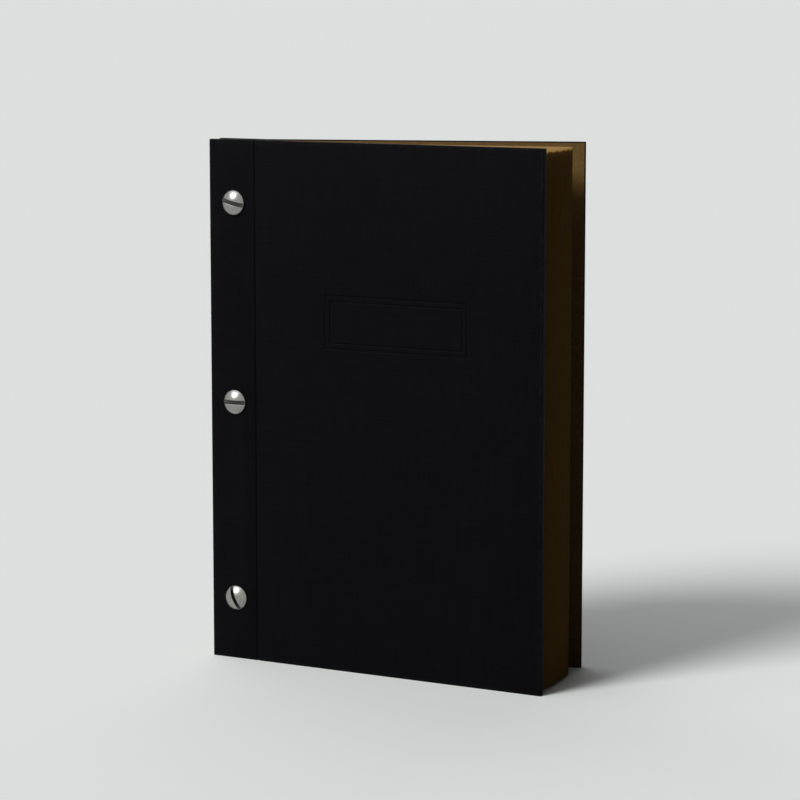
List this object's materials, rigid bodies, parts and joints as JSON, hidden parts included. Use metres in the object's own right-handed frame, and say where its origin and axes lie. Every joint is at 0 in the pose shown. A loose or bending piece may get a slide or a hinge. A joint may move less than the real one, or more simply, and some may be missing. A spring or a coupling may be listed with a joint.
{
  "type": "notebook",
  "caption": "Post-bound notebook standing fanned open: black cloth covers that hinge on scored creases, brown kraft leaves, and domed slotted screws through the spine side.",
  "frame": {"origin": "middle of the bounding box at the tail edge that the notebook stands on", "axes": "+Z from tail to head, +X from the spine to the fore-edge, the front cover faces -Y"},
  "size_m": [0.148, 0.0561, 0.21],
  "materials": {
    "cover_cloth": "fine matt bookcloth",
    "cover_board": "grey pressed board",
    "lining_paper": "brown kraft",
    "leaf_paper": "brown kraft",
    "screw_metal": "polished nickel plate"
  },
  "bodies": {
    "binding": {"front_strip_cloth": "cover_cloth", "front_strip_board": "cover_board", "front_strip_lining": "lining_paper", "back_strip_cloth": "cover_cloth", "back_strip_board": "cover_board", "back_strip_lining": "lining_paper", "leaf_margins": "leaf_paper", "post_top": "screw_metal", "post_middle": "screw_metal", "post_bottom": "screw_metal"},
    "front_cover": {"front_panel_cloth": "cover_cloth", "front_panel_board": "cover_board", "front_panel_lining": "lining_paper"},
    "back_cover": {"back_panel_cloth": "cover_cloth", "back_panel_board": "cover_board", "back_panel_lining": "lining_paper"},
    "leaf_01": {"leaf_01": "leaf_paper"},
    "leaf_02": {"leaf_02": "leaf_paper"},
    "leaf_03": {"leaf_03": "leaf_paper"},
    "leaf_04": {"leaf_04": "leaf_paper"},
    "leaf_05": {"leaf_05": "leaf_paper"},
    "leaf_06": {"leaf_06": "leaf_paper"},
    "leaf_07": {"leaf_07": "leaf_paper"},
    "leaf_08": {"leaf_08": "leaf_paper"},
    "leaf_09": {"leaf_09": "leaf_paper"},
    "leaf_10": {"leaf_10": "leaf_paper"},
    "leaf_11": {"leaf_11": "leaf_paper"},
    "leaf_12": {"leaf_12": "leaf_paper"},
    "leaf_13": {"leaf_13": "leaf_paper"},
    "leaf_14": {"leaf_14": "leaf_paper"},
    "leaf_15": {"leaf_15": "leaf_paper"},
    "leaf_16": {"leaf_16": "leaf_paper"},
    "leaf_17": {"leaf_17": "leaf_paper"},
    "leaf_18": {"leaf_18": "leaf_paper"},
    "leaf_19": {"leaf_19": "leaf_paper"},
    "leaf_20": {"leaf_20": "leaf_paper"},
    "leaf_21": {"leaf_21": "leaf_paper"},
    "leaf_22": {"leaf_22": "leaf_paper"},
    "leaf_23": {"leaf_23": "leaf_paper"},
    "leaf_24": {"leaf_24": "leaf_paper"},
    "leaf_25": {"leaf_25": "leaf_paper"},
    "leaf_26": {"leaf_26": "leaf_paper"},
    "leaf_27": {"leaf_27": "leaf_paper"},
    "leaf_28": {"leaf_28": "leaf_paper"},
    "leaf_29": {"leaf_29": "leaf_paper"},
    "leaf_30": {"leaf_30": "leaf_paper"},
    "leaf_31": {"leaf_31": "leaf_paper"},
    "leaf_32": {"leaf_32": "leaf_paper"},
    "leaf_33": {"leaf_33": "leaf_paper"},
    "leaf_34": {"leaf_34": "leaf_paper"},
    "leaf_35": {"leaf_35": "leaf_paper"},
    "leaf_36": {"leaf_36": "leaf_paper"},
    "screw_top": {"screw_top": "screw_metal"},
    "screw_middle": {"screw_middle": "screw_metal"},
    "screw_bottom": {"screw_bottom": "screw_metal"}
  },
  "joints": [
    {"name": "front_cover_open", "type": "hinge", "parent": "binding", "child": "front_cover", "pos_m": [-0.053, -0.02544, 0], "axis": [0, 0, -1], "range_deg": [0, 160]},
    {"name": "back_cover_open", "type": "hinge", "parent": "binding", "child": "back_cover", "pos_m": [-0.053, -0.01529, 0], "axis": [0, 0, 1], "range_deg": [-20, 140]},
    {"name": "leaf_01_turn", "type": "hinge", "parent": "binding", "child": "leaf_01", "pos_m": [-0.053, -0.01529, 0], "axis": [0, 0, 1], "range_deg": [-0.37, 2.57]},
    {"name": "leaf_02_turn", "type": "hinge", "parent": "binding", "child": "leaf_02", "pos_m": [-0.053, -0.01529, 0], "axis": [0, 0, 1], "range_deg": [-0.66, 4.59]},
    {"name": "leaf_03_turn", "type": "hinge", "parent": "binding", "child": "leaf_03", "pos_m": [-0.053, -0.01529, 0], "axis": [0, 0, 1], "range_deg": [-1, 7.02]},
    {"name": "leaf_04_turn", "type": "hinge", "parent": "binding", "child": "leaf_04", "pos_m": [-0.053, -0.01529, 0], "axis": [0, 0, 1], "range_deg": [-1.42, 9.96]},
    {"name": "leaf_05_turn", "type": "hinge", "parent": "binding", "child": "leaf_05", "pos_m": [-0.053, -0.01529, 0], "axis": [0, 0, 1], "range_deg": [-1.88, 13.14]},
    {"name": "leaf_06_turn", "type": "hinge", "parent": "binding", "child": "leaf_06", "pos_m": [-0.053, -0.01529, 0], "axis": [0, 0, 1], "range_deg": [-2.3, 16.08]},
    {"name": "leaf_07_turn", "type": "hinge", "parent": "binding", "child": "leaf_07", "pos_m": [-0.053, -0.01529, 0], "axis": [0, 0, 1], "range_deg": [-2.65, 18.51]},
    {"name": "leaf_08_turn", "type": "hinge", "parent": "binding", "child": "leaf_08", "pos_m": [-0.053, -0.01529, 0], "axis": [0, 0, 1], "range_deg": [-2.93, 20.53]},
    {"name": "leaf_09_turn", "type": "hinge", "parent": "binding", "child": "leaf_09", "pos_m": [-0.053, -0.01529, 0], "axis": [0, 0, 1], "range_deg": [-3.22, 22.55]},
    {"name": "leaf_10_turn", "type": "hinge", "parent": "binding", "child": "leaf_10", "pos_m": [-0.053, -0.01529, 0], "axis": [0, 0, 1], "range_deg": [-3.57, 24.98]},
    {"name": "leaf_11_turn", "type": "hinge", "parent": "binding", "child": "leaf_11", "pos_m": [-0.053, -0.01529, 0], "axis": [0, 0, 1], "range_deg": [-3.99, 27.93]},
    {"name": "leaf_12_turn", "type": "hinge", "parent": "binding", "child": "leaf_12", "pos_m": [-0.053, -0.01529, 0], "axis": [0, 0, 1], "range_deg": [-4.44, 31.1]},
    {"name": "leaf_13_turn", "type": "hinge", "parent": "binding", "child": "leaf_13", "pos_m": [-0.053, -0.01529, 0], "axis": [0, 0, 1], "range_deg": [-4.87, 34.05]},
    {"name": "leaf_14_turn", "type": "hinge", "parent": "binding", "child": "leaf_14", "pos_m": [-0.053, -0.01529, 0], "axis": [0, 0, 1], "range_deg": [-5.21, 36.48]},
    {"name": "leaf_15_turn", "type": "hinge", "parent": "binding", "child": "leaf_15", "pos_m": [-0.053, -0.01529, 0], "axis": [0, 0, 1], "range_deg": [-5.5, 38.5]},
    {"name": "leaf_16_turn", "type": "hinge", "parent": "binding", "child": "leaf_16", "pos_m": [-0.053, -0.01529, 0], "axis": [0, 0, 1], "range_deg": [-5.79, 40.52]},
    {"name": "leaf_17_turn", "type": "hinge", "parent": "binding", "child": "leaf_17", "pos_m": [-0.053, -0.01529, 0], "axis": [0, 0, 1], "range_deg": [-6.14, 42.95]},
    {"name": "leaf_18_turn", "type": "hinge", "parent": "binding", "child": "leaf_18", "pos_m": [-0.053, -0.01529, 0], "axis": [0, 0, 1], "range_deg": [-6.56, 45.9]},
    {"name": "leaf_19_turn", "type": "hinge", "parent": "binding", "child": "leaf_19", "pos_m": [-0.053, -0.01529, 0], "axis": [0, 0, 1], "range_deg": [-7.01, 49.07]},
    {"name": "leaf_20_turn", "type": "hinge", "parent": "binding", "child": "leaf_20", "pos_m": [-0.053, -0.01529, 0], "axis": [0, 0, 1], "range_deg": [-7.43, 52.02]},
    {"name": "leaf_21_turn", "type": "hinge", "parent": "binding", "child": "leaf_21", "pos_m": [-0.053, -0.01529, 0], "axis": [0, 0, 1], "range_deg": [-7.78, 54.45]},
    {"name": "leaf_22_turn", "type": "hinge", "parent": "binding", "child": "leaf_22", "pos_m": [-0.053, -0.01529, 0], "axis": [0, 0, 1], "range_deg": [-8.07, 56.47]},
    {"name": "leaf_23_turn", "type": "hinge", "parent": "binding", "child": "leaf_23", "pos_m": [-0.053, -0.01529, 0], "axis": [0, 0, 1], "range_deg": [-8.36, 58.49]},
    {"name": "leaf_24_turn", "type": "hinge", "parent": "binding", "child": "leaf_24", "pos_m": [-0.053, -0.01529, 0], "axis": [0, 0, 1], "range_deg": [-8.7, 60.92]},
    {"name": "leaf_25_turn", "type": "hinge", "parent": "binding", "child": "leaf_25", "pos_m": [-0.053, -0.01529, 0], "axis": [0, 0, 1], "range_deg": [-9.12, 63.86]},
    {"name": "leaf_26_turn", "type": "hinge", "parent": "binding", "child": "leaf_26", "pos_m": [-0.053, -0.01529, 0], "axis": [0, 0, 1], "range_deg": [-9.58, 67.04]},
    {"name": "leaf_27_turn", "type": "hinge", "parent": "binding", "child": "leaf_27", "pos_m": [-0.053, -0.01529, 0], "axis": [0, 0, 1], "range_deg": [-10, 69.98]},
    {"name": "leaf_28_turn", "type": "hinge", "parent": "binding", "child": "leaf_28", "pos_m": [-0.053, -0.01529, 0], "axis": [0, 0, 1], "range_deg": [-10.35, 72.41]},
    {"name": "leaf_29_turn", "type": "hinge", "parent": "binding", "child": "leaf_29", "pos_m": [-0.053, -0.01529, 0], "axis": [0, 0, 1], "range_deg": [-10.63, 74.43]},
    {"name": "leaf_30_turn", "type": "hinge", "parent": "binding", "child": "leaf_30", "pos_m": [-0.053, -0.01529, 0], "axis": [0, 0, 1], "range_deg": [-10.92, 76.45]},
    {"name": "leaf_31_turn", "type": "hinge", "parent": "binding", "child": "leaf_31", "pos_m": [-0.053, -0.01529, 0], "axis": [0, 0, 1], "range_deg": [-11.27, 78.89]},
    {"name": "leaf_32_turn", "type": "hinge", "parent": "binding", "child": "leaf_32", "pos_m": [-0.053, -0.01529, 0], "axis": [0, 0, 1], "range_deg": [-11.69, 81.83]},
    {"name": "leaf_33_turn", "type": "hinge", "parent": "binding", "child": "leaf_33", "pos_m": [-0.053, -0.01529, 0], "axis": [0, 0, 1], "range_deg": [-12.14, 85]},
    {"name": "leaf_34_turn", "type": "hinge", "parent": "binding", "child": "leaf_34", "pos_m": [-0.053, -0.01529, 0], "axis": [0, 0, 1], "range_deg": [-12.56, 87.95]},
    {"name": "leaf_35_turn", "type": "hinge", "parent": "binding", "child": "leaf_35", "pos_m": [-0.053, -0.01529, 0], "axis": [0, 0, 1], "range_deg": [-12.91, 90.38]},
    {"name": "leaf_36_turn", "type": "hinge", "parent": "binding", "child": "leaf_36", "pos_m": [-0.053, -0.01529, 0], "axis": [0, 0, 1], "range_deg": [-13.2, 92.4]},
    {"name": "screw_top_turn", "type": "hinge", "parent": "binding", "child": "screw_top", "pos_m": [-0.0628, -0.02544, 0.185], "axis": [0, -1, 0], "continuous": true},
    {"name": "screw_middle_turn", "type": "hinge", "parent": "binding", "child": "screw_middle", "pos_m": [-0.0628, -0.02544, 0.105], "axis": [0, -1, 0], "continuous": true},
    {"name": "screw_bottom_turn", "type": "hinge", "parent": "binding", "child": "screw_bottom", "pos_m": [-0.0628, -0.02544, 0.025], "axis": [0, -1, 0], "continuous": true}
  ],
  "couplings": [
    {"joint": "leaf_01_turn", "follows": "back_cover_open", "ratio": 0.018333},
    {"joint": "leaf_02_turn", "follows": "back_cover_open", "ratio": 0.032758},
    {"joint": "leaf_03_turn", "follows": "back_cover_open", "ratio": 0.050125},
    {"joint": "leaf_04_turn", "follows": "back_cover_open", "ratio": 0.071164},
    {"joint": "leaf_05_turn", "follows": "back_cover_open", "ratio": 0.093836},
    {"joint": "leaf_06_turn", "follows": "back_cover_open", "ratio": 0.11487},
    {"joint": "leaf_07_turn", "follows": "back_cover_open", "ratio": 0.13224},
    {"joint": "leaf_08_turn", "follows": "back_cover_open", "ratio": 0.14667},
    {"joint": "leaf_09_turn", "follows": "back_cover_open", "ratio": 0.16109},
    {"joint": "leaf_10_turn", "follows": "back_cover_open", "ratio": 0.17846},
    {"joint": "leaf_11_turn", "follows": "back_cover_open", "ratio": 0.1995},
    {"joint": "leaf_12_turn", "follows": "back_cover_open", "ratio": 0.22217},
    {"joint": "leaf_13_turn", "follows": "back_cover_open", "ratio": 0.24321},
    {"joint": "leaf_14_turn", "follows": "back_cover_open", "ratio": 0.26058},
    {"joint": "leaf_15_turn", "follows": "back_cover_open", "ratio": 0.275},
    {"joint": "leaf_16_turn", "follows": "back_cover_open", "ratio": 0.28942},
    {"joint": "leaf_17_turn", "follows": "back_cover_open", "ratio": 0.30679},
    {"joint": "leaf_18_turn", "follows": "back_cover_open", "ratio": 0.32783},
    {"joint": "leaf_19_turn", "follows": "back_cover_open", "ratio": 0.3505},
    {"joint": "leaf_20_turn", "follows": "back_cover_open", "ratio": 0.37154},
    {"joint": "leaf_21_turn", "follows": "back_cover_open", "ratio": 0.38891},
    {"joint": "leaf_22_turn", "follows": "back_cover_open", "ratio": 0.40333},
    {"joint": "leaf_23_turn", "follows": "back_cover_open", "ratio": 0.41776},
    {"joint": "leaf_24_turn", "follows": "back_cover_open", "ratio": 0.43513},
    {"joint": "leaf_25_turn", "follows": "back_cover_open", "ratio": 0.45616},
    {"joint": "leaf_26_turn", "follows": "back_cover_open", "ratio": 0.47884},
    {"joint": "leaf_27_turn", "follows": "back_cover_open", "ratio": 0.49987},
    {"joint": "leaf_28_turn", "follows": "back_cover_open", "ratio": 0.51724},
    {"joint": "leaf_29_turn", "follows": "back_cover_open", "ratio": 0.53167},
    {"joint": "leaf_30_turn", "follows": "back_cover_open", "ratio": 0.54609},
    {"joint": "leaf_31_turn", "follows": "back_cover_open", "ratio": 0.56346},
    {"joint": "leaf_32_turn", "follows": "back_cover_open", "ratio": 0.5845},
    {"joint": "leaf_33_turn", "follows": "back_cover_open", "ratio": 0.60717},
    {"joint": "leaf_34_turn", "follows": "back_cover_open", "ratio": 0.62821},
    {"joint": "leaf_35_turn", "follows": "back_cover_open", "ratio": 0.64558},
    {"joint": "leaf_36_turn", "follows": "back_cover_open", "ratio": 0.66}
  ]
}
